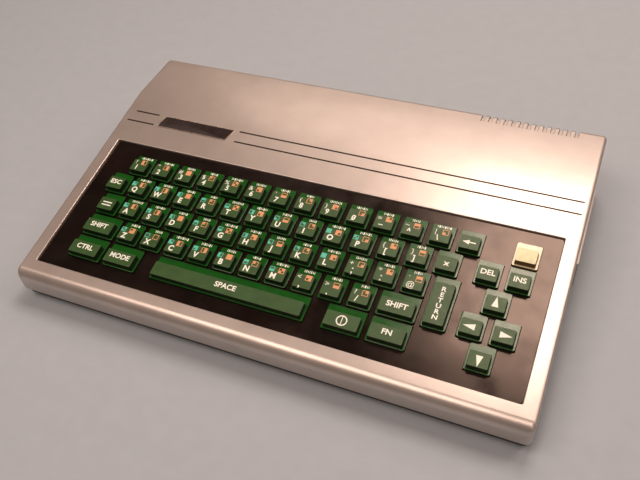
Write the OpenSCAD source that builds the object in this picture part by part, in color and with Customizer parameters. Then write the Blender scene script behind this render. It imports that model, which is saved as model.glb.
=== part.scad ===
// Home computer of the early 1980s: a wedge-shaped case with its keyboard built in.
// Sizes are in millimetres. X is the width, Y runs from the front edge to the back, Z is up.
// The pieces are drawn with the front face at Y = 0, and place() puts the origin on the
// ground under the middle of the whole machine.

/* [Case] */
// Width of the case
case_w = 356; // [350:1:366]
// Depth of the case
case_d = 226; // [222:1:234]
// Height of the level rear deck above the ground
crest_h = 52; // [50:0.5:56]
// Depth of the level rear deck
rear_deck_d = 49; // [46:1:52]
// Slope of the keyboard deck in degrees
slope = 8.5; // [7.5:0.25:9]
// Wall of the top shell
wall = 2.5; // [2.2:0.1:2.8]
// Radius of the roll along the front edge
roll_r = 8; // [6:0.5:8.5]
// Radius along the top of the back edge
back_r = 3.5; // [3:0.5:5]
// Radius of the upright corners
corner_r = 4; // [3.5:0.5:6]
// Height of the top shell's lower edge above the ground
skirt_z = 9.5; // [9:0.25:10]
// Floor and wall of the bottom shell
tray_t = 2.5; // [2:0.1:2.8]
// Gap between the two shells' walls
shell_gap = 0.3; // [0.2:0.05:0.4]
// Height to which the bottom shell's lip stands inside the top shell
lip_z = 12.5; // [11.5:0.25:12.5]
// Height of the rubber feet
foot_h = 3; // [2.5:0.25:3.5]
// Radius of the rubber feet
foot_r = 7; // [5:0.5:9]
// How far the feet's centres stand in from the case's sides and from its front and back
foot_in = 22; // [16:1:30]

/* [Vents] */
// Number of vent slots at the right of the rear edge
vent_count = 13; // [9:1:14]
// Distance from slot to slot
vent_pitch = 5.5; // [5:0.1:5.8]
// Width of one slot
vent_w = 2.6; // [2:0.1:3]
// Length of a slot on the deck
vent_top = 9; // [7:0.5:12]
// Depth of the groove in which a slot starts on the deck
vent_groove = 1.2; // [0.8:0.1:1.6]
// Length of a slot down the back wall
vent_drop = 10; // [6:0.5:11]
// Distance from the last slot to the case's right side
vent_side = 20; // [15:1:30]

/* [Keyboard] */
// Distance from key to key and from row to row
key_pitch = 19.05; // [18.9:0.05:19.15]
// Gap between the base plates of two neighbours in a row
key_gap_x = 3.35; // [3.1:0.05:3.8]
// Gap between the base plates of two rows
key_gap_y = 1.55; // [1.4:0.05:2]
// Width of the base plate's ledge beside the raised block
ledge_side = 1.5; // [1.2:0.1:1.8]
// Depth of the ledge in front of the block
ledge_front = 0.9; // [0.6:0.1:1.4]
// Depth of the ledge behind the block
ledge_back = 6.2; // [5.4:0.1:6.8]
// Height of the block above the base plate
block_h = 4.4; // [3.4:0.1:5.2]
// Thickness of a cap's skin
cap_t = 1.2; // [1:0.1:1.4]
// Travel of a key
key_travel = 2.2; // [1.6:0.1:2.3]
// Clearance between a cap and its hole, on each side
key_fit = 0.25; // [0.2:0.05:0.35]
// Radius of the stem that presses the dome
stem_r = 2; // [1.6:0.1:2.2]
// How far the panel lies below the deck
panel_drop = 1.5; // [1:0.1:2]
// Thickness of the panel's plate
panel_t = 2.5; // [2.2:0.1:2.8]
// Width of the silver border at each side of the panel
border_side = 10.1; // [8:0.1:12]
// Depth of the panel
panel_d = 115; // [113:0.5:117]
// Distance from the panel's rear edge to the crease, along the slope
panel_back = 50; // [48:0.5:53]
// Radius of the panel's corners
panel_r = 2.5; // [1.5:0.5:4]
// How far the panel's flange reaches under the deck
flange_w = 4; // [3:0.25:4.5]
// Height of a rubber dome
dome_h = 2.4; // [2:0.1:2.6]
// Thickness of the dome sheet
sheet_t = 1.2; // [1:0.1:1.4]
// Thickness of the contact board
contact_t = 1.6; // [1.2:0.1:1.8]
// Thickness of the steel backing plate
backing_t = 1; // [0.8:0.1:1.2]

/* [Boards and sockets] */
// Height of the main board's underside above the floor of the bottom shell
standoff_h = 8.5; // [7.5:0.25:9]
// Thickness of the main board
board_t = 1.6; // [1.4:0.1:1.8]
// Height of the bay for the sockets in the back wall
bay_top = 38; // [37.5:0.25:39.5]
// Thickness of the rear socket plate
rear_plate_t = 2; // [1.6:0.1:2.4]
// Outer radius of the TV jack
jack_r = 4.15; // [4:0.05:4.5]
// Length of the TV jack
jack_l = 10; // [8:0.5:12]
// Tilt of the power rocker to each side in degrees
rocker_tilt = 8; // [6:0.5:9]

/* [Cartridge slot] */
// Width of the slot along the case's side
slot_w = 64; // [58:1:66]
// Clear height of the slot
slot_h = 15.5; // [15:0.25:16]
// Wall of the guide
guide_t = 1.5; // [1.3:0.1:1.6]
// How far the rim stands out of the case's side
rim_out = 1; // [0.6:0.1:1.6]
// Depth of the guide behind the case's side
guide_d = 44; // [40:1:46]
// Distance from the back of the case to the slot's middle
slot_back = 69.3; // [66:0.5:71]
// Thickness of the flap
flap_t = 1.6; // [1.4:0.1:1.8]
// Radius of the flap's hinge pin
pin_r = 0.8; // [0.7:0.05:0.9]

/* [Hidden] */
$fn = 48;
eps = 0.01;
arc_steps = 8;
running = 0.05;
seat = 0.2;

// The case's outline from the side: front roll, sloped deck, crease, level deck, back edge.
crease_y = case_d - rear_deck_d;
front_z = crest_h - crease_y * tan(slope);
roll_z = front_z - roll_r * (1 - sin(slope)) / cos(slope);
function deck_z(y) = crest_h + min(0, (y - crease_y) * tan(slope));
function arc(cx, cy, r, from, to) =
    [for (i = [0 : arc_steps]) let (a = from + (to - from) * i / arc_steps) [cx + r * cos(a), cy + r * sin(a)]];
function side_outline(t) = concat(
    [[t, skirt_z - (t > 0 ? 1 : 0)]],
    arc(roll_r, roll_z, roll_r - t, 180, 90 + slope),
    [[crease_y + t * tan(slope / 2), crest_h - t]],
    arc(case_d - back_r, crest_h - back_r, back_r - t, 90, 0),
    [[case_d - t, skirt_z - (t > 0 ? 1 : 0)]]);
function round_rect(w, d, r) = concat(
    arc(w / 2 - r, d / 2 - r, r, 0, 90), arc(r - w / 2, d / 2 - r, r, 90, 180),
    arc(r - w / 2, r - d / 2, r, 180, 270), arc(w / 2 - r, r - d / 2, r, 270, 360));

// Levels of the keyboard, square to the deck and counted from the deck's surface.
plate_n = -panel_drop - panel_t;
ear_gap = 0.3;
ear_t = 0.9;
ear_out = 1.2;
ear_d = 6;
cap_n = plate_n - ear_gap - ear_t;
stem_reach = 0.8;
stem_n = cap_n - stem_reach;
sheet_n = stem_n - dome_h;
contact_n = sheet_n - sheet_t;
backing_n = contact_n - contact_t;
underside_n = backing_n - backing_t;
panel_w = case_w - 2 * border_side;
panel_v = -panel_back - panel_d / 2;
flange_size = [panel_w + 2 * flange_w, panel_d + 2 * flange_w];
frame_t = 2;

// Layout of the keys. A key is [column, row, width, rows deep]; columns and widths are in
// key pitches from the left side of the top row's first key, and row 1 is the rearmost.
rows_deep = 5;
layout_middle = 7.56;
cell_rows_v = panel_v + (rows_deep * key_pitch - key_gap_y) / 2;
indent = [0, -0.5, -0.3, -0.3, -0.3];
function key(column, row, w = 1, deep = 1) = [column + indent[row - 1], row, w, deep];
key_groups = [
    ["keys_1_2_3", [key(0, 1), key(1, 1), key(2, 1)]],
    ["keys_4_5", [key(3, 1), key(4, 1)]],
    ["keys_6_7", [key(5, 1), key(6, 1)]],
    ["keys_8_9_0", [key(7, 1), key(8, 1), key(9, 1)]],
    ["keys_minus_caret", [key(10, 1), key(11, 1)]],
    ["keys_backslash_back", [key(12, 1), key(13, 1)]],
    ["key_reset", [key(14.87, 1)]],
    ["keys_esc_q", [key(0, 2), key(1, 2)]],
    ["keys_w_e", [key(2, 2), key(3, 2)]],
    ["keys_r_t", [key(4, 2), key(5, 2)]],
    ["keys_y_u", [key(6, 2), key(7, 2)]],
    ["keys_i_o_p", [key(8, 2), key(9, 2), key(10, 2)]],
    ["keys_brackets_rub", [key(11, 2), key(12, 2), key(13, 2)]],
    ["keys_del_ins", [key(14.35, 2), key(15.37, 2)]],
    ["keys_line_a", [key(0, 3), key(1, 3)]],
    ["keys_s_d_f", [key(2, 3), key(3, 3), key(4, 3)]],
    ["keys_g_h", [key(5, 3), key(6, 3)]],
    ["keys_j_k_l", [key(7, 3), key(8, 3), key(9, 3)]],
    ["keys_semicolon_colon_at", [key(10, 3), key(11, 3), key(12, 3)]],
    ["key_return", [key(13, 4, 1, 2)]],
    ["key_shift_left", [key(0, 4, 1.5)]],
    ["keys_z_x_c", [key(1.5, 4), key(2.5, 4), key(3.5, 4)]],
    ["keys_v_b", [key(4.5, 4), key(5.5, 4)]],
    ["keys_n_m", [key(6.5, 4), key(7.5, 4)]],
    ["keys_comma_stop_slash", [key(8.5, 4), key(9.5, 4), key(10.5, 4)]],
    ["key_shift_right", [key(11.5, 4, 1.5)]],
    ["key_ctrl", [key(0, 5, 1.5)]],
    ["key_program", [key(1.5, 5, 1.5)]],
    ["key_space", [key(3.5, 5, 6.03)]],
    ["key_symbol", [key(10, 5, 1.5)]],
    ["key_function", [key(11.5, 5, 1.5)]],
    ["keys_up_down", [key(14.66, 3), key(14.66, 5)]],
    ["keys_left_right", [key(14.15, 4), key(15.17, 4)]]];
all_keys = [for (g = key_groups) for (k = g[1]) k];
function base_size(k) = [k[2] * key_pitch - key_gap_x, k[3] * key_pitch - key_gap_y];
function block_size(k) = base_size(k) - [2 * ledge_side, ledge_front + ledge_back];
function key_x(k) = (k[0] + k[2] / 2 - layout_middle) * key_pitch;
function key_front(k) = cell_rows_v - (k[1] - 1) * key_pitch - (key_pitch - key_gap_y);
stem_back = 7.6;

// Bosses that hold the keyboard together, on the panel's front and rear margins.
boss_r = 2.8;
boss_in = 4.5;
boss_x = panel_w / 2 - boss_in;
boss_points = [for (x = [-1, -0.5, 0, 0.5, 1]) for (s = [-1, 1])
    [x * boss_x, panel_v + s * (panel_d / 2 - boss_in)]];
small_screw_r = 1.5;
small_head_r = 2.8;
small_head_h = 1.8;
small_screw_l = 8;

// Bottom shell, posts and main board.
tray_in = wall + shell_gap;
tray_w = case_w - 2 * tray_in;
tray_d = case_d - 2 * tray_in;
floor_z = foot_h + tray_t;
board_z = floor_z + standoff_h;
board_top = board_z + board_t;
side_x = case_w / 2;
post_in = 12;
post_back_y = case_d - 14;
post_front_y = crease_y - 34;
post_z = 24;
post_r = 4.6;
top_post_r = 3.4;
screw_r = 1.5;
screw_head_r = 2.9;
screw_head_h = 2;
screw_l = 21;
screw_bore = screw_r + 0.25;
counterbore_r = screw_head_r + 0.3;
head_seat_z = floor_z + 6.5;
pilot_r = screw_r + running;

// Cartridge slot.
slot_y = case_d - slot_back;
slot_z = board_z - 2;
guide_w = slot_w + 2 * guide_t;
guide_top = slot_z + slot_h + guide_t;
guide_x = side_x - guide_d;
rim_face = 1.8;
rim_w = guide_w + 2 * rim_face;
rim_top = guide_top + rim_face;
rim_lip = 0.8;
barrel_wall = 0.9;
barrel_r = pin_r + barrel_wall;
hinge_z = slot_z + slot_h - barrel_r - 0.3;
hinge_x = side_x - barrel_r - seat;
spring_room = 9;
connector_w = slot_w - 6;
connector_d = 16;
connector_h = 9;
connector_gap = 6;
guide_leg = 6;

// Back wall.
bay_left = -side_x + 14;
bay_right = side_x - 12;
rear_y = case_d - wall - rear_plate_t;
face_y = rear_y - seat;
board_back = rear_y - 4.5;
board_front = crease_y - 53;
board_left = -side_x + 18;
board_right = guide_x - connector_gap;
board_right_back = side_x - 18;
board_step = slot_y + guide_w / 2 + 4.5;
port_x = [-side_x + 35, -side_x + 70];
edge_x = port_x[1] + 50;
edge_w = 56;
edge_slot_h = 11;
modulator = [46, 60, 18];
modulator_x = board_right - modulator[0] / 2 - 35;
din_x = [modulator_x - 62, modulator_x - 38];
case_screws = [[-side_x + post_in, post_back_y], [din_x[0] - 26.5, post_back_y], [side_x - post_in + 1, post_back_y],
    [-side_x + post_in, post_front_y], [side_x - 82, post_front_y]];
inlet_x = side_x - 58;
switch_x = side_x - 28;
port_z = board_top + 6.2;
din_z = board_top + 9.5;
jack_z = board_top + 9;
inlet_z = board_top + 6.5;
switch_z = bay_top - 12;
switch_size = [13, 16, 19];
switch_rim = 1;
switch_rim_t = 1.2;
rocker_w = 9.6;
rocker_h = 14.8;
rocker_y = case_d - wall - 2.8;
rocker_gap = 0.5;
axle_r = 1.2;
jack_tip = face_y + jack_l;
sink_y = board_step + 0.6;
sink_x = board_right - 32;
whole_d = jack_tip;

base_nodes = ["top_case", "bottom_case", "key_panel", "dome_sheet", "keyboard_pcb", "keyboard_plate",
    "keyboard_cable", "main_board", "logic_chips", "capacitors", "regulators", "heat_sink", "rf_modulator",
    "din_sockets", "joystick_ports", "power_inlet", "power_switch", "power_rocker", "rear_panel",
    "cartridge_connector", "cartridge_guide", "cartridge_door", "door_pin", "door_spring", "rubber_feet",
    "case_screws", "inner_screws"];

// From the case's own corner to the machine's frame.
module place() {
    translate([-rim_out / 2, -whole_d / 2, 0]) children();
}

// X is across the deck, Y up the slope from the crease, Z square to the deck from its surface.
module on_deck() {
    translate([0, crease_y, crest_h]) rotate([slope, 0, 0]) children();
}

// A box given by its middle in X, its Y and Z start and its size.
module block(x, y, z, size) {
    translate([x - size[0] / 2, y, z]) cube(size);
}

module slab(size, r, from, to) {
    translate([0, 0, from]) linear_extrude(to - from) polygon(round_rect(size[0], size[1], r));
}

// A post or hole along Y, from y on, centred at x and z.
module along_y(x, y, z, r, l) {
    translate([x, y, z]) rotate([-90, 0, 0]) cylinder(r = r, h = l);
}

module case_solid(t) {
    intersection() {
        rotate([90, 0, 90]) translate([0, 0, t - case_w / 2]) linear_extrude(case_w - 2 * t)
            polygon(side_outline(t));
        translate([0, case_d / 2, 0]) slab([case_w - 2 * t, case_d - 2 * t], corner_r - t, 0, crest_h + 1);
    }
}

// Each vent is a shallow groove on the deck that opens through the wall at the back edge.
module vents() {
    for (i = [0 : vent_count - 1]) let (x = side_x - vent_side - i * vent_pitch) {
        block(x, case_d - vent_top, crest_h - vent_groove, [vent_w, vent_top + 1, vent_groove + 1]);
        block(x, case_d - wall - 1, crest_h - vent_drop, [vent_w, wall + 2, vent_drop + 1]);
    }
}

module top_case() {
    color("silver") difference() {
        union() {
            difference() {
                case_solid(0);
                case_solid(wall);
            }
            for (p = case_screws)
                translate([p[0], p[1], post_z]) cylinder(r = top_post_r, h = deck_z(p[1]) - wall / 2 - post_z);
        }
        on_deck() translate([0, panel_v, 0]) slab([panel_w, panel_d], panel_r, -wall - 1, 1);
        vents();
        translate([bay_left, case_d - wall - 1, 0]) cube([bay_right - bay_left, wall + 2, bay_top]);
        translate([side_x - wall - 1, slot_y - guide_w / 2 - seat, 0]) cube([wall + 2, guide_w + 2 * seat, guide_top + seat]);
        for (p = case_screws)
            translate([p[0], p[1], post_z - 1]) cylinder(r = pilot_r, h = screw_l - (post_z - head_seat_z) + 2);
    }
}

board_holes = [[board_left + 6, board_front + 5], [board_left + 6, board_back - 30], [edge_x + 12, board_front + 5],
    [din_x[0] - 42, board_back - 5], [board_right - 24, board_front + 5], [board_right_back - 6, board_step + 5]];
standoff_r = 3.5;
floor_slot = [3, 34, floor_z + 1];
floor_slot_pitch = 8;
floor_slots_x = -60;
floor_slots_y = board_front + 26;
module bottom_case() {
    color([0.13, 0.12, 0.12]) difference() {
        union() {
            difference() {
                translate([0, case_d / 2, 0]) slab([tray_w, tray_d], 1.5, foot_h, lip_z);
                translate([0, case_d / 2, 0]) slab([tray_w - 2 * tray_t, tray_d - 2 * tray_t], 1, floor_z, lip_z + 1);
            }
            for (p = board_holes)
                translate([p[0], p[1], floor_z - 1]) cylinder(r = standoff_r, h = standoff_h + 1);
            for (p = case_screws)
                translate([p[0], p[1], floor_z - 1]) cylinder(r = post_r, h = post_z - floor_z + 1);
        }
        translate([bay_left - 2, case_d - tray_in - tray_t - 1, skirt_z])
            cube([bay_right - bay_left + 4, tray_t + 2, lip_z]);
        translate([side_x - tray_in - tray_t - 1, slot_y - guide_w / 2 - seat, slot_z - guide_t - seat])
            cube([tray_t + 2, guide_w + 2 * seat, lip_z]);
        for (p = board_holes)
            translate([p[0], p[1], floor_z]) cylinder(r = small_screw_r + running, h = standoff_h + 1);
        for (p = case_screws) translate([p[0], p[1], 0]) {
            cylinder(r = screw_bore, h = post_z + 1);
            cylinder(r = counterbore_r, h = head_seat_z);
        }
        for (i = [-6 : 6])
            block(floor_slots_x + i * floor_slot_pitch, floor_slots_y, 0, floor_slot);
    }
}

module key_holes(from, to) {
    for (k = all_keys) {
        b = base_size(k) + [2 * key_fit, 2 * key_fit];
        translate([key_x(k) - b[0] / 2, key_front(k) - key_fit, from]) cube([b[0], b[1], to - from]);
    }
}

module at_bosses() {
    for (p = boss_points) translate([p[0], p[1], 0]) children();
}

module key_panel() {
    color([0.09, 0.05, 0.05]) on_deck() difference() {
        union() {
            translate([0, panel_v, 0]) {
                slab([panel_w - 2 * seat, panel_d - 2 * seat], panel_r, plate_n, -panel_drop);
                difference() {
                    slab(flange_size, panel_r, sheet_n - sheet_t, -wall);
                    slab(flange_size - [2 * frame_t, 2 * frame_t], 1, sheet_n - sheet_t - 1, plate_n);
                }
            }
            at_bosses() translate([0, 0, contact_n]) cylinder(r = boss_r, h = plate_n - contact_n + 1);
        }
        key_holes(plate_n - 2, 1);
        at_bosses() translate([0, 0, contact_n - 1])
            cylinder(r = small_screw_r + running, h = small_screw_l - contact_t - backing_t + 2);
    }
}

module dome_cone(r1, r2, from, to) {
    translate([0, 0, from]) cylinder(r1 = r1, r2 = r2, h = to - from);
}

dome_r = 5.5;
dome_top_r = 2.8;
dome_skin = 0.8;
module dome_sheet() {
    inner = flange_size - [2 * frame_t + 2 * ear_gap, 2 * frame_t + 2 * ear_gap];
    color([0.75, 0.75, 0.72]) on_deck() difference() {
        union() {
            translate([0, panel_v, 0]) slab(inner, 1, contact_n, sheet_n);
            for (k = all_keys) translate([key_x(k), key_front(k) + stem_back, 0])
                dome_cone(dome_r, dome_top_r, sheet_n - eps, stem_n);
        }
        for (k = all_keys) translate([key_x(k), key_front(k) + stem_back, 0])
            dome_cone(dome_r, dome_top_r - dome_skin, contact_n - 1, stem_n - dome_skin);
        at_bosses() translate([0, 0, contact_n - 1]) cylinder(r = boss_r + ear_gap, h = sheet_t + dome_h);
    }
}

module keyboard_layer(from, to) {
    on_deck() difference() {
        translate([0, panel_v, 0]) slab(flange_size, panel_r, from, to);
        at_bosses() translate([0, 0, from - 1]) cylinder(r = small_screw_r + seat, h = to - from + 2);
    }
}

module keyboard_pcb() {
    color([0.2, 0.35, 0.18]) keyboard_layer(backing_n, contact_n);
}

module keyboard_plate() {
    color([0.6, 0.6, 0.62]) keyboard_layer(underside_n, backing_n);
}

// Flat cable: leaves the contact board's rear edge, bends down behind it and ends in a plug.
cable_w = 40;
cable_t = 1;
cable_x = -75;
plug_y = board_front + 22;
plug_size = [cable_w + 4, 6, 7];
contact_rear_v = panel_v + flange_size[1] / 2;
contact_mid_n = contact_n - contact_t / 2;
cable_start = [crease_y + contact_rear_v * cos(slope) - contact_mid_n * sin(slope),
    crest_h + contact_rear_v * sin(slope) + contact_mid_n * cos(slope)];
cable_end_z = board_top + plug_size[2] - 1;
cable_bend = plug_y - cable_start[0];
cable_outer = arc(cable_start[0], cable_start[1] - cable_bend, cable_bend + cable_t / 2, 90, 0);
cable_inner = arc(cable_start[0], cable_start[1] - cable_bend, cable_bend - cable_t / 2, 0, 90);
module keyboard_cable() {
    color([0.7, 0.7, 0.72]) {
        translate([cable_x - cable_w / 2, 0, 0]) rotate([90, 0, 90]) linear_extrude(cable_w)
            polygon(concat(cable_outer, [for (s = [1, -1]) [plug_y + s * cable_t / 2, cable_end_z]], cable_inner));
        block(cable_x, plug_y - plug_size[1] / 2, board_top, plug_size);
    }
}

module main_board() {
    color([0.1, 0.3, 0.15]) difference() {
        union() {
            translate([board_left, board_front, board_z])
                cube([board_right - board_left, board_back - board_front, board_t]);
            translate([board_right - 1, board_step, board_z])
                cube([board_right_back - board_right + 1, board_back - board_step, board_t]);
            block(edge_x, board_back - 1, board_z, [edge_w, case_d - wall - board_back + 2.5, board_t]);
        }
        for (p = board_holes) translate([p[0], p[1], board_z - 1]) cylinder(r = small_screw_r + seat, h = board_t + 2);
        for (p = case_screws) translate([p[0], p[1], board_z - 1]) cylinder(r = post_r + 0.5, h = board_t + 2);
    }
}

module chip(x, y, size) {
    translate([x - size[0] / 2, y - size[1] / 2, board_top]) cube(size);
}

long_chip = [52, 14, 4.4];
rom_chip = [36, 14, 4.4];
ram_chip = [7.6, 20, 4.4];
ram_count = 8;
ram_pitch = 9.6;
ram_x = modulator_x - modulator[0] / 2 - ram_count * ram_pitch + 2.8;
module logic_chips() {
    color([0.1, 0.1, 0.1]) {
        for (row_y = [48, 70]) {
            chip(board_left + 36, board_front + row_y, long_chip);
            chip(board_left + 92, board_front + row_y, rom_chip);
        }
        chip(modulator_x - 56, board_front + 64, long_chip);
        for (i = [0 : ram_count - 1]) chip(ram_x + i * ram_pitch, board_front + 37, ram_chip);
    }
}

// Each capacitor stands at [x from the board's right edge, y from the heat sink] with [radius, height].
capacitor_places = [[-26, -32, 5, 14], [-58, -45, 4, 11], [-23, -17, 5, 16]];
module capacitors() {
    color([0.15, 0.2, 0.4]) for (c = capacitor_places)
        translate([board_right + c[0], sink_y + c[1], board_top]) cylinder(r = c[2], h = c[3]);
}

reg_size = [10, 4.5, 15];
reg_x = [sink_x + 8, sink_x + 23];
reg_leg = [0.8, 0.5, 5 + eps];
reg_leg_pitch = 2.5;
sink_size = [31, 2.5, 24];
fin_count = 6;
fin = [1.4, 8, sink_size[2]];
fin_pitch = (sink_size[0] - fin[0]) / (fin_count - 1);
module regulators() {
    color([0.12, 0.12, 0.12]) for (x = reg_x) {
        block(x, sink_y - reg_size[1], board_top + reg_leg[2] - eps, reg_size);
        for (i = [-1 : 1]) block(x + i * reg_leg_pitch, sink_y - reg_size[1] / 2, board_top, reg_leg);
    }
}

module heat_sink() {
    color([0.7, 0.7, 0.7]) {
        translate([sink_x, sink_y, board_top]) cube(sink_size);
        for (i = [0 : fin_count - 1])
            translate([sink_x + i * fin_pitch, sink_y + sink_size[1] - eps, board_top]) cube(fin);
    }
}

// The jack's collar fills the rear plate's hole, and the plug slides on the barrel beyond it.
collar_r = jack_r + 1.4;
collar_l = rear_plate_t + seat + 0.3;
module rf_modulator() {
    color([0.75, 0.75, 0.75]) difference() {
        union() {
            block(modulator_x, face_y - modulator[1], board_top, modulator);
            along_y(modulator_x, face_y - 1, jack_z, collar_r, collar_l + 1);
            along_y(modulator_x, face_y - 1, jack_z, jack_r, jack_l + 1);
        }
        along_y(modulator_x, jack_tip - 8, jack_z, 1.6, 9);
    }
}

din_r = 7.4;
din_body = [20, 14, 19];
neck_l = rear_plate_t + 1.8;
module din_sockets() {
    color([0.16, 0.16, 0.17]) for (x = din_x) difference() {
        union() {
            block(x, face_y - din_body[1], board_top, din_body);
            along_y(x, face_y - 1, din_z, din_r, neck_l);
        }
        difference() {
            along_y(x, face_y - 3, din_z, din_r - 0.5, 9);
            along_y(x, face_y - 4, din_z, din_r - 1.5, 6.2);
        }
        for (i = [0 : 4]) along_y(x + 4 * cos(i * 45), face_y - 4, din_z + 4 * sin(i * 45), 0.75, 9);
    }
}

// D-shaped outline of a joystick port, wider at the top.
function d_shape(grow) = [[-7.9 - grow, -4 - grow], [7.9 + grow, -4 - grow], [8.8 + grow, 4 + grow], [-8.8 - grow, 4 + grow]];
module d_prism(x, y, grow, l) {
    translate([x, y + l, port_z]) rotate([90, 0, 0]) linear_extrude(l) polygon(d_shape(grow));
}

port_l = 6;
port_body = [31, 10, 12.4];
port_wall = 0.5;
port_pin_pitch = 2.76;
port_pin_r = 0.5;
module joystick_ports() {
    color([0.62, 0.62, 0.6]) for (x = port_x) {
        difference() {
            union() {
                block(x, face_y - port_body[1], board_top, port_body);
                d_prism(x, face_y - 1, 0, port_l + 1);
            }
            d_prism(x, face_y, -port_wall, port_l + 1);
        }
        for (i = [-2 : 2])
            along_y(x + i * port_pin_pitch, face_y - 1, port_z + port_pin_pitch / 2, port_pin_r, port_l - port_wall);
        for (i = [-1.5 : 1.5])
            along_y(x + i * port_pin_pitch, face_y - 1, port_z - port_pin_pitch / 2, port_pin_r, port_l - port_wall);
    }
}

inlet_r = 4.6;
inlet_bore_r = 2.9;
inlet_pin_r = 1;
inlet_body = [14, 13, 13];
module power_inlet() {
    color([0.08, 0.08, 0.08]) {
        difference() {
            union() {
                block(inlet_x, face_y - inlet_body[1], board_top, inlet_body);
                along_y(inlet_x, face_y - 1, inlet_z, inlet_r, neck_l);
            }
            along_y(inlet_x, face_y - 7, inlet_z, inlet_bore_r, 12);
        }
        along_y(inlet_x, face_y - 8, inlet_z, inlet_pin_r, 9);
    }
}

module at_switch() {
    translate([switch_x, 0, switch_z]) children();
}

switch_front = case_d - wall - switch_size[1];
module power_switch() {
    w = rocker_w + 2 * rocker_gap;
    color([0.08, 0.08, 0.08]) at_switch() difference() {
        union() {
            translate([-switch_size[0] / 2, switch_front, -switch_size[2] / 2]) cube(switch_size);
            translate([-switch_size[0] / 2 - switch_rim, case_d - wall, -switch_size[2] / 2 - switch_rim])
                cube([switch_size[0] + 2 * switch_rim, switch_rim_t, switch_size[2] + 2 * switch_rim]);
        }
        translate([-w / 2, rocker_y - 6, -rocker_h / 2 - 1]) cube([w, 20, rocker_h + 2]);
        translate([-w / 2 - 1.2, rocker_y, 0]) rotate([0, 90, 0]) cylinder(r = axle_r + running, h = w + 2.4);
    }
}

module power_rocker() {
    h = rocker_h / 2;
    color([0.12, 0.12, 0.12]) at_switch() translate([0, rocker_y, 0]) rotate([-rocker_tilt, 0, 0]) {
        rotate([90, 0, 90]) translate([0, 0, -rocker_w / 2]) linear_extrude(rocker_w)
            polygon([[-1.5, -h + 0.4], [4.4, -h], [4.9, -h / 2], [5.2, 0], [4.9, h / 2], [4.4, h], [-1.5, h - 0.4], [-3.2, 0]]);
        translate([-rocker_w / 2 - 1.4, 0, 0]) rotate([0, 90, 0]) cylinder(r = axle_r, h = rocker_w + 2.8);
    }
}

module rear_panel() {
    fit = seat;
    color([0.11, 0.1, 0.1]) difference() {
        translate([bay_left - 1.5, rear_y, skirt_z]) cube([bay_right - bay_left + 3, rear_plate_t, bay_top + 1.5 - skirt_z]);
        for (x = port_x) d_prism(x, rear_y - 1, 0.3, rear_plate_t + 2);
        block(edge_x, rear_y - 1, board_z - 3, [edge_w + 4, rear_plate_t + 2, edge_slot_h]);
        for (x = din_x) along_y(x, rear_y - 1, din_z, din_r + fit, rear_plate_t + 2);
        along_y(modulator_x, rear_y - 1, jack_z, collar_r + fit, rear_plate_t + 2);
        along_y(inlet_x, rear_y - 1, inlet_z, inlet_r + fit, rear_plate_t + 2);
        at_switch() translate([-switch_size[0] / 2 - fit, rear_y - 1, -switch_size[2] / 2 - fit])
            cube([switch_size[0] + 2 * fit, rear_plate_t + 2, switch_size[2] + 2 * fit]);
    }
}

module cartridge_connector() {
    color([0.1, 0.1, 0.1]) translate([board_right - connector_d, slot_y - connector_w / 2, board_top]) difference() {
        cube([connector_d, connector_w, connector_h]);
        translate([connector_d - 9, 3, connector_h / 2 - 1]) cube([10, connector_w - 6, 2]);
    }
}

// Tunnel through the case's right side, with a rim outside and four legs to the floor.
module cartridge_guide() {
    color([0.7, 0.7, 0.7]) translate([0, slot_y, 0]) difference() {
        union() {
            translate([guide_x, -guide_w / 2, slot_z - guide_t])
                cube([guide_d + eps, guide_w, slot_h + 2 * guide_t]);
            translate([side_x, -rim_w / 2, skirt_z]) cube([rim_out, rim_w, rim_top - skirt_z]);
            for (x = [guide_x + guide_leg, side_x - 2 * guide_leg]) for (s = [-1, 1])
                block(x, s * (guide_w - guide_leg) / 2 - guide_leg / 2, floor_z,
                    [guide_leg, guide_leg, slot_z - guide_t - floor_z + eps]);
        }
        translate([guide_x - 1, -slot_w / 2, slot_z]) cube([guide_d + 1, slot_w, slot_h]);
        translate([side_x - 1, -slot_w / 2 + rim_lip, slot_z + rim_lip])
            cube([rim_out + 2, slot_w - 2 * rim_lip, slot_h - 2 * rim_lip]);
        translate([hinge_x, guide_w / 2 + 1, hinge_z]) rotate([90, 0, 0]) cylinder(r = pin_r + running, h = guide_w + 2);
    }
}

flap_w = slot_w - 0.8;
flap_drop = hinge_z - slot_z - 0.4;
module cartridge_door() {
    barrel_l = flap_w - spring_room;
    color([0.25, 0.24, 0.24]) translate([hinge_x, slot_y - flap_w / 2, hinge_z]) difference() {
        union() {
            translate([-flap_t / 2, 0, -flap_drop]) cube([flap_t, flap_w, flap_drop - barrel_r - seat]);
            translate([-flap_t / 2, 0, -flap_drop]) cube([flap_t, barrel_l, flap_drop]);
            rotate([-90, 0, 0]) cylinder(r = barrel_r, h = barrel_l);
        }
        translate([0, -1, 0]) rotate([-90, 0, 0]) cylinder(r = pin_r + running, h = flap_w + 2);
    }
}

module door_pin() {
    color([0.75, 0.75, 0.75]) translate([hinge_x, slot_y - guide_w / 2 + 0.1, hinge_z]) rotate([-90, 0, 0])
        cylinder(r = pin_r, h = guide_w - 0.2);
}

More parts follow.
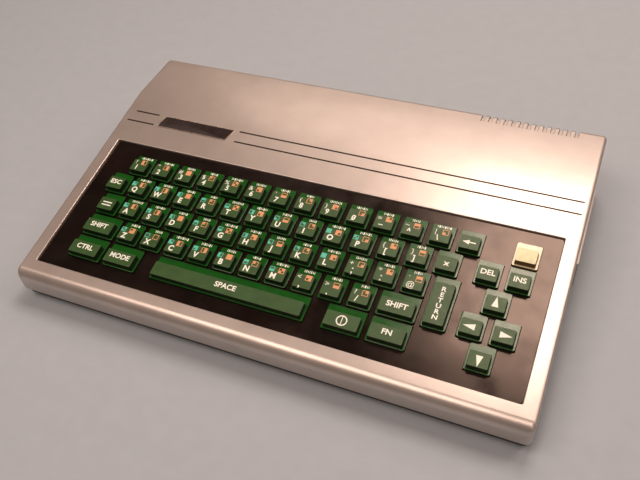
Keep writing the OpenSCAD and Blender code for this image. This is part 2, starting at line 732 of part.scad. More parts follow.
// Torsion spring: a close coil round the hinge pin, drawn as touching rings, with one leg
// behind the flap and one inward under the guide's roof.
wire_r = 0.25;
coil_r = pin_r + wire_r + 0.1;
coil_rings = 8;
ring_pitch = 1.9 * wire_r;
leg_l = 5;
coil_y = slot_y + flap_w / 2 - spring_room + 2;
module wire(l) {
    cylinder(r = wire_r, h = l, $fn = 12);
}
module door_spring() {
    color([0.7, 0.7, 0.72]) translate([hinge_x, coil_y, hinge_z]) {
        for (i = [0 : coil_rings - 1]) translate([0, i * ring_pitch, 0]) rotate([90, 0, 0])
            rotate_extrude($fn = 24) translate([coil_r, 0]) circle(r = wire_r, $fn = 12);
        translate([-coil_r, 0, -leg_l]) wire(leg_l);
        translate([0, (coil_rings - 1) * ring_pitch, coil_r]) rotate([0, -90, 0]) wire(leg_l);
    }
}

module rubber_feet() {
    color([0.07, 0.07, 0.07])
        for (x = [-side_x + foot_in, side_x - foot_in]) for (y = [foot_in, case_d - foot_in])
            translate([x, y, 0]) {
                cylinder(r1 = foot_r - 1, r2 = foot_r, h = 1);
                translate([0, 0, 1]) cylinder(r = foot_r, h = foot_h - 1);
            }
}

module screw(head_r, head_h, shank_r, l) {
    cylinder(r = head_r, h = head_h);
    translate([0, 0, head_h - eps]) cylinder(r = shank_r, h = l + eps);
}

module case_screws() {
    color([0.6, 0.6, 0.6]) for (p = case_screws)
        translate([p[0], p[1], head_seat_z - screw_head_h])
            screw(screw_head_r, screw_head_h, screw_r, screw_l);
}

// The same short pan-head screws hold the main board and the keyboard's layers.
module inner_screws() {
    color([0.65, 0.65, 0.6]) {
        for (p = board_holes) translate([p[0], p[1], board_top + small_head_h]) rotate([180, 0, 0])
            screw(small_head_r, small_head_h, small_screw_r, small_screw_l);
        on_deck() at_bosses() translate([0, 0, underside_n - small_head_h])
            screw(small_head_r, small_head_h, small_screw_r, small_screw_l);
    }
}

// A cap is a hollow base plate with a raised block, two ears under the panel and a stem.
module key_cap(k) {
    base = base_size(k);
    block = block_size(k);
    block_front = key_front(k) + ledge_front;
    ear_y = key_front(k) + (base[1] - ear_d) / 2;
    x = key_x(k);
    difference() {
        union() {
            block(x, key_front(k), cap_n, [base[0], base[1], -cap_n]);
            block(x, block_front, -eps, [block[0], block[1], block_h + eps]);
            block(x, ear_y, cap_n, [base[0] + 2 * ear_out, ear_d, ear_t]);
        }
        block(x, key_front(k) + cap_t, cap_n - 1, [base[0] - 2 * cap_t, base[1] - 2 * cap_t, 1 - cap_n - cap_t]);
        block(x, block_front + cap_t, -cap_t - 1, [block[0] - 2 * cap_t, block[1] - 2 * cap_t, block_h + 1]);
    }
    translate([x, key_front(k) + stem_back, stem_n]) cylinder(r = stem_r, h = block_h - cap_t / 2 - stem_n);
}

module key_group(keys, shade) {
    color(shade) on_deck() for (k = keys) key_cap(k);
}

place() top_case();
place() bottom_case();
place() key_panel();
place() dome_sheet();
place() keyboard_pcb();
place() keyboard_plate();
place() keyboard_cable();
place() main_board();
place() logic_chips();
place() capacitors();
place() regulators();
place() heat_sink();
place() rf_modulator();
place() din_sockets();
place() joystick_ports();
place() power_inlet();
place() power_switch();
place() power_rocker();
place() rear_panel();
place() cartridge_connector();
place() cartridge_guide();
place() cartridge_door();
place() door_pin();
place() door_spring();
place() rubber_feet();
place() case_screws();
place() inner_screws();
for (g = key_groups)
    place() key_group(g[1], g[0] == "key_reset" ? "wheat" : "darkgreen");
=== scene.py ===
import math

import bmesh
import bpy
from mathutils import Matrix, Vector


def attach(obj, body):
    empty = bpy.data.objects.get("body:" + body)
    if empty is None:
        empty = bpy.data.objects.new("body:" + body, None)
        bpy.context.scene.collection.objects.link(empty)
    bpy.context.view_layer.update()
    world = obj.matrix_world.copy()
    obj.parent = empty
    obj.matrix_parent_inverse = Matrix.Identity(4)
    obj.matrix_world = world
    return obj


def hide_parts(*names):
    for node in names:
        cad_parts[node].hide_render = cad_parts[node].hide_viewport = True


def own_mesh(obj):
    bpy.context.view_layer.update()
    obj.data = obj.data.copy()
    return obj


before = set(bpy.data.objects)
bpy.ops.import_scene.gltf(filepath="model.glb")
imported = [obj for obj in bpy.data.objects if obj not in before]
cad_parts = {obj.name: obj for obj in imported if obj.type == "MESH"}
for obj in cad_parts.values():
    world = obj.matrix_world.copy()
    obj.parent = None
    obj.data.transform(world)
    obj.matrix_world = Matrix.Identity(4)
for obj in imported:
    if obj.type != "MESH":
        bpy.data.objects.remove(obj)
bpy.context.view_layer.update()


# Bottom shell: a tray of fine-grained dark plastic that stands inside the silver shell.
# It is moulded with its screw posts, the board's standoffs and a row of floor slots, and
# every edge of it has the small radius of a worn moulding tool.
NOISE_LOW, NOISE_HIGH = 0.3, 0.7
SAME_POINT = 2e-6


def finish(name, colour, rough, vary=0.08, cloud=0.012, grain=0.0005, bump=0.08, metal=0.0, shine=0.5,
           rough_vary=0.06):
    """A procedural finish: clouds of shade over the piece, a fine surface grain and uneven gloss.

    Cloud and grain are the sizes of the patches and of the grain, in metres."""
    material = bpy.data.materials.new(name)
    material.use_nodes = True
    nodes, links = material.node_tree.nodes, material.node_tree.links
    shader = nodes["Principled BSDF"]
    shader.inputs["Metallic"].default_value = metal
    shader.inputs["Specular IOR Level"].default_value = shine
    place = nodes.new("ShaderNodeTexCoord")

    def noise(size, detail):
        texture = nodes.new("ShaderNodeTexNoise")
        texture.inputs["Scale"].default_value = 1 / size
        texture.inputs["Detail"].default_value = detail
        links.new(place.outputs["Object"], texture.inputs["Vector"])
        return texture.outputs["Fac"]

    shade = nodes.new("ShaderNodeValToRGB")
    for stop, position, side in zip(shade.color_ramp.elements, (NOISE_LOW, NOISE_HIGH), (-1, 1)):
        stop.position = position
        stop.color = [*(min(1.0, c * (1 + side * vary)) for c in colour), 1]
    links.new(noise(cloud, 4), shade.inputs["Fac"])
    links.new(shade.outputs["Color"], shader.inputs["Base Color"])
    gloss = nodes.new("ShaderNodeMapRange")
    gloss.inputs["From Min"].default_value = NOISE_LOW
    gloss.inputs["From Max"].default_value = NOISE_HIGH
    gloss.inputs["To Min"].default_value = max(0.02, rough - rough_vary)
    gloss.inputs["To Max"].default_value = min(1.0, rough + rough_vary)
    links.new(noise(cloud * 0.6, 5), gloss.inputs["Value"])
    links.new(gloss.outputs["Result"], shader.inputs["Roughness"])
    relief = nodes.new("ShaderNodeBump")
    relief.inputs["Strength"].default_value = bump
    relief.inputs["Distance"].default_value = grain
    links.new(noise(grain, 2), relief.inputs["Height"])
    links.new(relief.outputs["Normal"], shader.inputs["Normal"])
    return material


def shade_by_angle(mesh, degrees=32):
    mesh.shade_smooth()
    mesh.set_sharp_from_angle(angle=math.radians(degrees))


def eased(node, name, material, radius, body="case"):
    """Stands for a CAD node, the same shape with its edges rounded as moulding or bending leaves them."""
    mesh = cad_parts[node].data.copy()
    mesh.name = name
    if "custom_normal" in mesh.attributes:
        mesh.attributes.remove(mesh.attributes["custom_normal"])
    bm = bmesh.new()
    bm.from_mesh(mesh)
    bmesh.ops.remove_doubles(bm, verts=bm.verts, dist=SAME_POINT)
    bmesh.ops.dissolve_limit(bm, angle_limit=math.radians(0.5), verts=bm.verts, edges=bm.edges)
    bm.to_mesh(mesh)
    bm.free()
    mesh.materials.clear()
    mesh.materials.append(material)
    shade_by_angle(mesh)
    piece = bpy.data.objects.new(name, mesh)
    bpy.context.scene.collection.objects.link(piece)
    edge = piece.modifiers.new("edge", "BEVEL")
    edge.width, edge.segments = radius, 2
    edge.limit_method, edge.angle_limit = "ANGLE", math.radians(40)
    edge.harden_normals = True
    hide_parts(node)
    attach(piece, body)


def coat_node(node, material):
    """Gives a CAD node that stays as it is its finish."""
    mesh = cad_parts[node].data
    mesh.materials.clear()
    mesh.materials.append(material)
    shade_by_angle(mesh)


dark_plastic = finish("dark_plastic", (0.022, 0.02, 0.02), 0.55, grain=0.0006, bump=0.25)
eased("bottom_case", "lower_shell", dark_plastic, 0.0005)


# Feet: four round pads of black rubber, glued under the corners of the bottom shell. Each has a
# small chamfer where it meets the table.
rubber = finish("foot_rubber", (0.018, 0.018, 0.018), 0.8, grain=0.0004, bump=0.3)
eased("rubber_feet", "feet", rubber, 0.0004)


# Main board: a glass-fibre board with green solder mask, copper tracks under it that show as
# paler lines, and tinned pads. It lies on six standoffs and carries every rear socket.
def board_finish(name, colour, track):
    """A circuit board's finish: solder mask, with long thin tracks in a paler shade of it."""
    material = finish(name, colour, 0.35, vary=0.12, grain=0.0003, bump=0.03)
    nodes, links = material.node_tree.nodes, material.node_tree.links
    shader = nodes["Principled BSDF"]
    base = shader.inputs["Base Color"].links[0].from_socket
    place = nodes.new("ShaderNodeTexCoord")
    tracks = nodes.new("ShaderNodeTexBrick")
    tracks.inputs["Scale"].default_value = 110
    tracks.inputs["Mortar Size"].default_value = 0.06
    tracks.inputs["Row Height"].default_value = 0.28
    tracks.inputs["Brick Width"].default_value = 2.6
    tracks.inputs["Color1"].default_value = tracks.inputs["Color2"].default_value = (0, 0, 0, 1)
    tracks.inputs["Mortar"].default_value = (1, 1, 1, 1)
    links.new(place.outputs["Object"], tracks.inputs["Vector"])
    blend = nodes.new("ShaderNodeMix")
    blend.data_type = "RGBA"
    links.new(tracks.outputs["Color"], blend.inputs["Factor"])
    links.new(base, blend.inputs["A"])
    blend.inputs["B"].default_value = (*track, 1)
    links.new(blend.outputs["Result"], shader.inputs["Base Color"])
    return material


board_green = board_finish("board_green", (0.02, 0.11, 0.045), (0.05, 0.2, 0.08))
coat_node("main_board", board_green)


# Logic chips: long and short packages of black epoxy in rows on the main board, with the faint
# matt grain of their mould.
epoxy = finish("chip_epoxy", (0.016, 0.016, 0.017), 0.6, grain=0.0003, bump=0.2)
eased("logic_chips", "chips", epoxy, 0.0003)


# Capacitors: aluminium cans that stand upright on the main board, in blue shrunk sleeves that
# leave the top of the can bare.
sleeve = finish("capacitor_sleeve", (0.02, 0.035, 0.13), 0.25, grain=0.0008, bump=0.04)
bare_can = finish("bare_can", (0.62, 0.62, 0.62), 0.3, metal=1.0, grain=0.0004, bump=0.05)
coat_node("capacitors", sleeve)
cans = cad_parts["capacitors"].data
cans.materials.append(bare_can)
for face in cans.polygons:
    face.material_index = 1 if face.normal.z > 0.9 else 0


# Voltage regulators and heat sink: two black epoxy packages on legs, with their backs against
# a finned length of extruded aluminium.
aluminium = finish("extruded_aluminium", (0.6, 0.6, 0.6), 0.38, metal=1.0, cloud=0.02, grain=0.0006,
                   bump=0.05)
coat_node("regulators", epoxy)
eased("heat_sink", "fins", aluminium, 0.0002)


# TV modulator: a folded can of bright tinplate on the main board. Its jack is spun into the rear
# face and comes out through the rear plate.
tinplate = finish("tinplate", (0.56, 0.55, 0.52), 0.3, metal=1.0, vary=0.12, cloud=0.018, grain=0.0006,
                  bump=0.06)
eased("rf_modulator", "modulator_can", tinplate, 0.0003)


# Rear sockets: round ones for picture and tape, D-shaped ones for joysticks in plated
# steel shells, and the round power inlet. They stand on the main board.
socket_plastic = finish("socket_plastic", (0.02, 0.02, 0.022), 0.45, grain=0.0004, bump=0.12)
eased("din_sockets", "round_sockets", socket_plastic, 0.0002)
eased("joystick_ports", "joystick_sockets", tinplate, 0.0002)
eased("power_inlet", "power_socket", socket_plastic, 0.0002)


# Power switch: a black moulded body that snaps into the rear plate, and the glossy rocker that
# tips in it on its own axle.
eased("power_switch", "switch_body", socket_plastic, 0.0003)
rocker_plastic = finish("rocker_plastic", (0.016, 0.015, 0.015), 0.22, grain=0.0005, bump=0.04)
eased("power_rocker", "switch_rocker", rocker_plastic, 0.0004, body="rocker")


# Rear plate: dark fine-grained plastic behind the back wall's bay, pierced for the sockets and
# clipped between the two shells.
plate_plastic = finish("plate_plastic", (0.026, 0.024, 0.024), 0.5, grain=0.0006, bump=0.25)
eased("rear_panel", "socket_plate", plate_plastic, 0.0003)


# Cartridge flap, pin and connector: a dark flap hangs on a steel pin behind the mouth of the
# slot's tunnel, and the edge connector stands on the main board at the tunnel's inner end.
flap_plastic = finish("flap_plastic", (0.04, 0.037, 0.037), 0.5, grain=0.0006, bump=0.25)
steel = finish("zinc_steel", (0.5, 0.5, 0.5), 0.32, metal=1.0, vary=0.1, cloud=0.01, grain=0.0004,
               bump=0.05)
eased("cartridge_connector", "edge_connector", socket_plastic, 0.0003)
eased("cartridge_door", "slot_flap", flap_plastic, 0.0003, body="flap")
coat_node("door_pin", steel)


# Flap spring: a coil of thin wire on the flap's pin. One leg bears on the tunnel, and the other
# on the flap's back and swings with it. New meshes, from here on, are sized in millimetres.
MILLIMETRES = Matrix.Scale(0.001, 4)
WIRE_RADIUS, COIL_RADIUS, LEG = 0.25, 1.15, 5.0
HINGE, FIRST_COIL = Vector((175.6, 0, 25.5)), 65.65


def steel_piece(name, bm, body):
    """A part of the spring, as a piece that rides on the given body."""
    mesh = bpy.data.meshes.new(name)
    bm.to_mesh(mesh)
    bm.free()
    mesh.materials.append(steel)
    shade_by_angle(mesh)
    piece = bpy.data.objects.new(name, mesh)
    bpy.context.scene.collection.objects.link(piece)
    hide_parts("door_spring")
    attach(piece, body)


coil = bmesh.new()
coil.from_mesh(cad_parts["door_spring"].data)
bmesh.ops.remove_doubles(coil, verts=coil.verts, dist=SAME_POINT)
below_coil = (HINGE.z - COIL_RADIUS - WIRE_RADIUS) / 1000
cut = bmesh.ops.bisect_plane(coil, geom=coil.verts[:] + coil.edges[:] + coil.faces[:], clear_inner=True,
                             plane_co=(0, 0, below_coil), plane_no=(0, 0, 1))["geom_cut"]
bmesh.ops.holes_fill(coil, edges=[e for e in cut if isinstance(e, bmesh.types.BMEdge)], sides=0)
steel_piece("spring_coil", coil, "case")
leg = bmesh.new()
bmesh.ops.create_cone(leg, cap_ends=True, segments=12, radius1=WIRE_RADIUS, radius2=WIRE_RADIUS, depth=LEG)
bmesh.ops.transform(leg, verts=leg.verts, matrix=MILLIMETRES @ Matrix.Translation(
    (HINGE.x - COIL_RADIUS, FIRST_COIL, HINGE.z - LEG / 2)))
steel_piece("spring_leg", leg, "flap")


# Keyboard layers: a steel plate and a contact board, screwed under the panel, and a flat grey
# cable down to the main board. The rubber sheet between them and the keys comes later.
cable_grey = finish("cable_grey", (0.34, 0.34, 0.36), 0.45, grain=0.0012, bump=0.15)
coat_node("keyboard_plate", steel)
coat_node("keyboard_pcb", board_green)
coat_node("keyboard_cable", cable_grey)


# Key panel: polished near-black plastic, sunk in the deck, with a sharp hole for each key.
# Years of hands have left cloudy patches in its gloss.
panel_gloss = finish("panel_gloss", (0.004, 0.0015, 0.001), 0.19, vary=0.7, cloud=0.03, grain=0.0008,
                     bump=0.015, rough_vary=0.07)
# Its reflections are tinted warm on the shader, a painted reflection colour for the warm room it mirrors.
panel_gloss.node_tree.nodes["Principled BSDF"].inputs["Specular Tint"].default_value = (1, 0.82, 0.72, 1)
coat_node("key_panel", panel_gloss)


# Key caps: hollow deep-green mouldings, and one in cream. Each is a base plate with a raised
# block, two ears that hold it under the panel, and a stem that stands on its rubber dome.
PITCH = 19.05
GAP_SIDE, GAP_DEEP = 3.35, 1.55
CREASE, CREST, SLOPE = 177, 52, math.radians(8.5)
TO_ROW = MILLIMETRES @ Matrix.Translation((-0.5, -115.65, 0))
DECK = TO_ROW @ Matrix.Translation((0, CREASE, CREST)) @ Matrix.Rotation(SLOPE, 4, "X")
CAP_BOTTOM, STEM_BOTTOM, BLOCK_TOP = -5.2, -6.0, 4.4
LEDGE_SIDE, LEDGE_FRONT, LEDGE_BACK = 1.3, 0.9, 6.2
PLATE_CORNER, BLOCK_CORNER, RIM = 1.2, 0.7, 0.35
NARROWING = (0.7, 0.4)
SKIN, STEM_RADIUS, STEM_BACK = 1.2, 2, 7.6
EAR = (2.4, 6, 0.9)


def key_plastic_and_painted_light(name, top, shelf, painted_shade_wall):
    """A cap's plastic: spark-eroded on the block's top, whose greyer olive colour is partly painted sheen;
    smooth on the shelf; painted dark with shade on the walls.
    """
    return [finish(name + "_top", top, 0.4, vary=0.14, cloud=0.006, grain=0.00035, bump=0.2, shine=0.46),
            finish(name + "_shelf", shelf, 0.2, vary=0.1, cloud=0.008, grain=0.0005, bump=0.04, shine=0.55,
                   rough_vary=0.04),
            finish(name + "_wall", painted_shade_wall, 0.45, vary=0.1, cloud=0.008, grain=0.0005, bump=0.04, shine=0.25)]


# Each plastic's third colour, for the walls, is far darker than its shelf: painted shade. The green top's
# greyer olive is partly painted sheen.
key_green = key_plastic_and_painted_light("key_green", (0.027, 0.084, 0.018), (0.002, 0.08, 0.003), (0.008, 0.022, 0.006))
key_cream = key_plastic_and_painted_light("key_cream", (0.76, 0.76, 0.46), (0.74, 0.74, 0.5), (0.2, 0.11, 0.04))
ink_white = finish("ink_white", (0.88, 0.95, 0.86), 0.5, vary=0.03, bump=0.02)
ink_blue = finish("ink_blue", (0.09, 0.55, 0.4), 0.5, vary=0.05, bump=0.02)
ink_orange = finish("ink_orange", (0.7, 0.34, 0.16), 0.5, vary=0.05, bump=0.02)
TOP, SHELF, PAINTED_SHADE_SIDE = 0, 1, 2
INKS = {"white": 3, "blue": 4, "orange": 5}


def corners_of(result):
    """The vertices among what an extrusion made."""
    return [v for v in result["geom"] if isinstance(v, bmesh.types.BMVert)]


def rise(edge):
    """How far an edge climbs."""
    return abs(edge.verts[0].co.z - edge.verts[1].co.z)


def round_edges(bm, edges, radius, segments=4, clamp=False):
    bmesh.ops.bevel(bm, geom=edges, offset=radius, offset_type="OFFSET", segments=segments, profile=0.5,
                    affect="EDGES", material=-1, clamp_overlap=clamp)


def add_part(whole, part, slot_index):
    """Moves a part's mesh into a whole, with one material."""
    for face in part.faces:
        face.material_index = slot_index
    mesh = bpy.data.meshes.new("part")
    part.to_mesh(mesh)
    part.free()
    whole.from_mesh(mesh)
    bpy.data.meshes.remove(mesh)


def brick(size, middle):
    bm = bmesh.new()
    bmesh.ops.create_cube(bm, size=1)
    bmesh.ops.transform(bm, verts=bm.verts, matrix=Matrix.Translation(middle) @ Matrix.Diagonal((*size, 1)))
    return bm


def cap(x, front, width, depth):
    """One cap: base plate and block cut from one brick, edges rounded, hollowed to a skin from below."""
    bm = brick((width, depth, -CAP_BOTTOM), (x, front + depth / 2, CAP_BOTTOM / 2))
    block_w, block_front = width - 2 * LEDGE_SIDE, front + LEDGE_FRONT
    block_d = depth - LEDGE_FRONT - LEDGE_BACK
    for normal, point in (((1, 0, 0), (x - block_w / 2, 0, 0)), ((1, 0, 0), (x + block_w / 2, 0, 0)),
                          ((0, 1, 0), (0, block_front, 0)), ((0, 1, 0), (0, block_front + block_d, 0))):
        bmesh.ops.bisect_plane(bm, geom=bm.verts[:] + bm.edges[:] + bm.faces[:], plane_co=point,
                               plane_no=normal)
    bm.normal_update()
    middle = Vector((x, block_front + block_d / 2, 0))
    top = min((f for f in bm.faces if f.normal.z > 0.9),
              key=lambda f: (f.calc_center_median() - middle).length)
    corners = corners_of(bmesh.ops.extrude_face_region(bm, geom=[top]))
    bmesh.ops.delete(bm, geom=[top], context="FACES_ONLY")
    bmesh.ops.translate(bm, verts=corners, vec=(0, 0, BLOCK_TOP))
    pivot = Vector((x, block_front + block_d / 2, BLOCK_TOP))
    narrower = Matrix.Diagonal((1 - NARROWING[0] / block_w, 1 - NARROWING[1] / block_d, 1, 1))
    bmesh.ops.transform(bm, verts=corners, matrix=Matrix.Translation(pivot) @ narrower
                        @ Matrix.Translation(-pivot))
    bmesh.ops.dissolve_limit(bm, angle_limit=math.radians(1), verts=bm.verts, edges=bm.edges)
    bmesh.ops.delete(bm, geom=[f for f in bm.faces if f.normal.z < -0.9], context="FACES_ONLY")
    bm.normal_update()
    for low, radius in ((CAP_BOTTOM, PLATE_CORNER), (0, BLOCK_CORNER)):
        upright = [e for e in bm.edges if len(e.link_faces) == 2 and rise(e) > 1
                   and abs(min(v.co.z for v in e.verts) - low) < 0.1]
        round_edges(bm, upright, radius, clamp=True)
    rims = [e for e in bm.edges if len(e.link_faces) == 2 and e.is_convex
            and e.calc_face_angle(0) > math.radians(50) and rise(e) < 0.01]
    round_edges(bm, rims, RIM, segments=2, clamp=True)
    bmesh.ops.remove_doubles(bm, verts=bm.verts, dist=0.002)
    bmesh.ops.dissolve_degenerate(bm, edges=bm.edges, dist=0.002)
    bmesh.ops.recalc_face_normals(bm, faces=bm.faces)
    bmesh.ops.solidify(bm, geom=bm.faces[:], thickness=SKIN)
    return bm


def stem_and_ears(bm, x, front, width, depth):
    """Adds the stem under a cap's block and the two ears at its sides."""
    stem = bmesh.new()
    length = BLOCK_TOP - SKIN / 2 - STEM_BOTTOM
    bmesh.ops.create_cone(stem, cap_ends=True, segments=24, radius1=STEM_RADIUS, radius2=STEM_RADIUS,
                          depth=length)
    bmesh.ops.translate(stem, verts=stem.verts, vec=(x, front + STEM_BACK, STEM_BOTTOM + length / 2))
    add_part(bm, stem, TOP)
    for side in (-1, 1):
        add_part(bm, brick(EAR, (x + side * (width / 2), front + depth / 2, CAP_BOTTOM + EAR[2] / 2)), TOP)


# Legends: thin films of ink on the cap's plastic. A white sign and a blue and an orange block mark
# stand in from the edges of the block's top, and a row of ticks lies on the base plate behind it.
INK_DEPTH, INK_LEVEL = 0.06, 0.02
PRINT_LEVEL = BLOCK_TOP + INK_LEVEL
CAPITAL_SHARE = 0.73
LETTER_HEIGHT, DOTTED_HEIGHT, SHIFTED_HEIGHT, CROSS_HEIGHT = 4.2, 6.6, 3.5, 4.2
WORD_HEIGHT, STACKED_HEIGHT, STACK_STEP = 3.8, 3.2, 4.0
BLUE_MARK, ORANGE_MARK, MARK_LINE = 3.5, 4.1, 0.42
SIGN_IN, SHIFTED_IN, BLUE_IN, ORANGE_IN = (4.9, 3.2), (2.9, 2.6), (2.5, 2.3), (3.9, 2.3)
BAR, RING = 0.9, 3.6
TICK_WIDTHS, TICK_HEIGHTS = (0.4, 0.6, 1.0), (1.9, 1.3, 1.9)
TICK_GAP, TICKS_BEHIND = 0.6, 4.5


def printed(text, height, middle, bold=0.035, stretch=1.12):
    """A thin raised print of a sign, as a closed mesh centred at the given point."""
    curve = bpy.data.curves.new("print", "FONT")
    curve.body, curve.size = text, height / CAPITAL_SHARE
    curve.offset, curve.extrude = bold * height, INK_DEPTH / 2
    curve.align_x, curve.align_y = "CENTER", "CENTER"
    curve.resolution_u = 3
    carrier = bpy.data.objects.new("print", curve)
    bpy.context.scene.collection.objects.link(carrier)
    mesh = bpy.data.meshes.new_from_object(carrier.evaluated_get(bpy.context.evaluated_depsgraph_get()))
    bpy.data.objects.remove(carrier)
    bpy.data.curves.remove(curve)
    bm = bmesh.new()
    bm.from_mesh(mesh)
    bpy.data.meshes.remove(mesh)
    bmesh.ops.remove_doubles(bm, verts=bm.verts, dist=0.001)
    bmesh.ops.recalc_face_normals(bm, faces=bm.faces)
    bmesh.ops.transform(bm, verts=bm.verts,
                        matrix=Matrix.Translation(middle) @ Matrix.Diagonal((stretch, 1, 1, 1)))
    return bm


def block_mark(size, number, middle):
    """A small block-graphics mark: a square frame, with the quarters filled that the number has bits for."""
    bm = bmesh.new()
    middle = Vector(middle)
    reach, quarter = (size - MARK_LINE) / 2, size / 2 - MARK_LINE
    for side in (-1, 1):
        add_part(bm, brick((size, MARK_LINE, INK_DEPTH), middle + Vector((0, side * reach, 0))), 0)
        add_part(bm, brick((MARK_LINE, size - 2 * MARK_LINE, INK_DEPTH),
                           middle + Vector((side * reach, 0, 0))), 0)
    for i in range(4):
        if number >> i & 1:
            corner = Vector((i % 2 - 0.5, i // 2 - 0.5, 0)) * quarter
            add_part(bm, brick((quarter, quarter, INK_DEPTH), middle + corner), 0)
    return bm


def ticks(seed, across, along):
    """A centred row of small upright ticks and bars on the base plate, in place of a second printed line."""
    bm = bmesh.new()
    widths = [TICK_WIDTHS[(seed * (i + 3) + i * i) % 3] for i in range(5 + seed * 3 % 4)]
    left = across - (sum(widths) + TICK_GAP * (len(widths) - 1)) / 2
    for i, wide in enumerate(widths):
        tall = TICK_HEIGHTS[(seed + 2 * i) % 3]
        add_part(bm, brick((wide, tall, INK_DEPTH), (left + wide / 2, along, INK_LEVEL)), 0)
        left += wide + TICK_GAP
    return bm


def arrow(middle, turn, length=7.3, width=4.2):
    """A solid triangle, longer than it is wide."""
    bm = bmesh.new()
    bmesh.ops.create_cone(bm, cap_ends=True, segments=3, radius1=1, radius2=1, depth=INK_DEPTH)
    bmesh.ops.transform(bm, verts=bm.verts, matrix=Matrix.Translation(middle)
                        @ Matrix.Rotation(math.radians(turn), 4, "Z")
                        @ Matrix.Diagonal((width / math.sqrt(3), length / 1.5, 1, 1)))
    return bm


def ring(middle, radius):
    """A plain ring cut across by one bar, the sign of the spare key."""
    bm = bmesh.new()
    bmesh.ops.create_circle(bm, cap_ends=False, radius=radius, segments=32)
    inner = corners_of(bmesh.ops.extrude_edge_only(bm, edges=bm.edges[:]))
    bmesh.ops.scale(bm, verts=inner, vec=(0.78, 0.78, 1))
    bmesh.ops.solidify(bm, geom=bm.faces[:], thickness=INK_DEPTH)
    bmesh.ops.recalc_face_normals(bm, faces=bm.faces)
    bmesh.ops.translate(bm, verts=bm.verts, vec=Vector(middle))
    add_part(bm, brick((0.5, radius * 1.7, INK_DEPTH), middle), 0)
    return bm


# A key is a dictionary of its row from the back, its column in pitches, its sign, the shifted sign
# and its kind, with its width and depth in pitches where they aren't 1. Keys of the kind "char"
# have block marks and ticks, and the others carry one word or sign, or nothing.
def chars(row, column, signs, shifted="", **more):
    return [dict(row=row, column=column + i, sign=s, shifted=shifted[i:i + 1], kind="char", **more)
            for i, s in enumerate(signs)]


def word(row, column, text, kind="word", **more):
    return dict(row=row, column=column, sign=text, shifted="", kind=kind, **more)


KEYS = {
    "keys_1_2_3": chars(1, 0, "123", "!\"#"),
    "keys_4_5": chars(1, 3, "45", "$%"),
    "keys_6_7": chars(1, 5, "67", "&'"),
    "keys_8_9_0": chars(1, 7, "890", "() "),
    "keys_minus_caret": chars(1, 10, "\u2013^", "=~"),
    "keys_backslash_back": chars(1, 12, "\\", "|") + [word(1, 13, "", "left_line")],
    "key_reset": [word(1, 14.87, "", "bare")],
    "keys_esc_q": [word(2, 0, "ESC")] + chars(2, 1, "Q"),
    "keys_w_e": chars(2, 2, "WE"),
    "keys_r_t": chars(2, 4, "RT"),
    "keys_y_u": chars(2, 6, "YU"),
    "keys_i_o_p": chars(2, 8, "IOP"),
    "keys_brackets_rub": chars(2, 11, "[]", "{}") + [word(2, 13, "", "cross")],
    "keys_del_ins": [word(2, 14.35, "DEL"), word(2, 15.37, "INS")],
    "keys_line_a": [word(3, 0, "", "lines")] + chars(3, 1, "A"),
    "keys_s_d_f": chars(3, 2, "SDF"),
    "keys_g_h": chars(3, 5, "GH"),
    "keys_j_k_l": chars(3, 7, "JKL"),
    "keys_semicolon_colon_at": chars(3, 10, ";:@", "+*`"),
    "key_return": [word(4, 13, "RETURN", "stacked", deep=2)],
    "key_shift_left": [word(4, 0, "SHIFT", wide=1.5)],
    "keys_z_x_c": chars(4, 1.5, "ZXC"),
    "keys_v_b": chars(4, 4.5, "VB"),
    "keys_n_m": chars(4, 6.5, "NM"),
    "keys_comma_stop_slash": chars(4, 8.5, ",./", "<>?"),
    "key_shift_right": [word(4, 11.5, "SHIFT", wide=1.5)],
    "key_ctrl": [word(5, 0, "CTRL", wide=1.5)],
    "key_program": [word(5, 1.5, "MODE", wide=1.5)],
    "key_space": [word(5, 3.5, "SPACE", wide=6.03)],
    "key_symbol": [word(5, 10, "", "ring", wide=1.5)],
    "key_function": [word(5, 11.5, "FN", wide=1.5)],
    "keys_up_down": [word(3, 14.66, "", "up"), word(5, 14.66, "", "down")],
    "keys_left_right": [word(4, 14.15, "", "left"), word(4, 15.17, "", "right")],
}
ROW_INDENTS = (0, -0.5, -0.3, -0.3, -0.3)
LAYOUT_MIDDLE, FIRST_ROW = 7.56, -60.65
ARROW_TURNS = {"up": 0, "left": 90, "down": 180, "right": -90}


def char_legends(bm, key, x, near, far, left, right, seed):
    """A character key's prints: its sign, a shifted sign or a blue mark, an orange mark and ticks."""
    sign = key["sign"]
    height, bold = LETTER_HEIGHT, 0.05 if sign.isalpha() else 0.035
    if sign in "@;:,.":
        height, bold = LETTER_HEIGHT if sign == "@" else DOTTED_HEIGHT, 0.0
    spot = Vector((left + SIGN_IN[0], near + SIGN_IN[1], PRINT_LEVEL))
    add_part(bm, printed(sign, height, spot, bold=bold, stretch=0.95), INKS["white"])
    if sign == "0":
        slash = brick((0.45, 4.8, INK_DEPTH), (0, 0, -0.01))
        bmesh.ops.transform(slash, verts=slash.verts, matrix=Matrix.Translation(spot)
                            @ Matrix.Rotation(math.radians(-35), 4, "Z"))
        add_part(bm, slash, INKS["white"])
    if key["shifted"].strip():
        spot = (left + SHIFTED_IN[0], far - SHIFTED_IN[1], PRINT_LEVEL)
        add_part(bm, printed(key["shifted"], SHIFTED_HEIGHT, spot, bold=0.0), INKS["white"])
    elif sign.isalpha():
        spot = (left + BLUE_IN[0], far - BLUE_IN[1], PRINT_LEVEL)
        add_part(bm, block_mark(BLUE_MARK, seed * 7 % 16, spot), INKS["blue"])
    spot = (right - ORANGE_IN[0], far - ORANGE_IN[1], PRINT_LEVEL)
    add_part(bm, block_mark(ORANGE_MARK, seed * 5 % 16, spot), INKS["orange"])
    add_part(bm, ticks(seed, x, far + TICKS_BEHIND), INKS["white"])


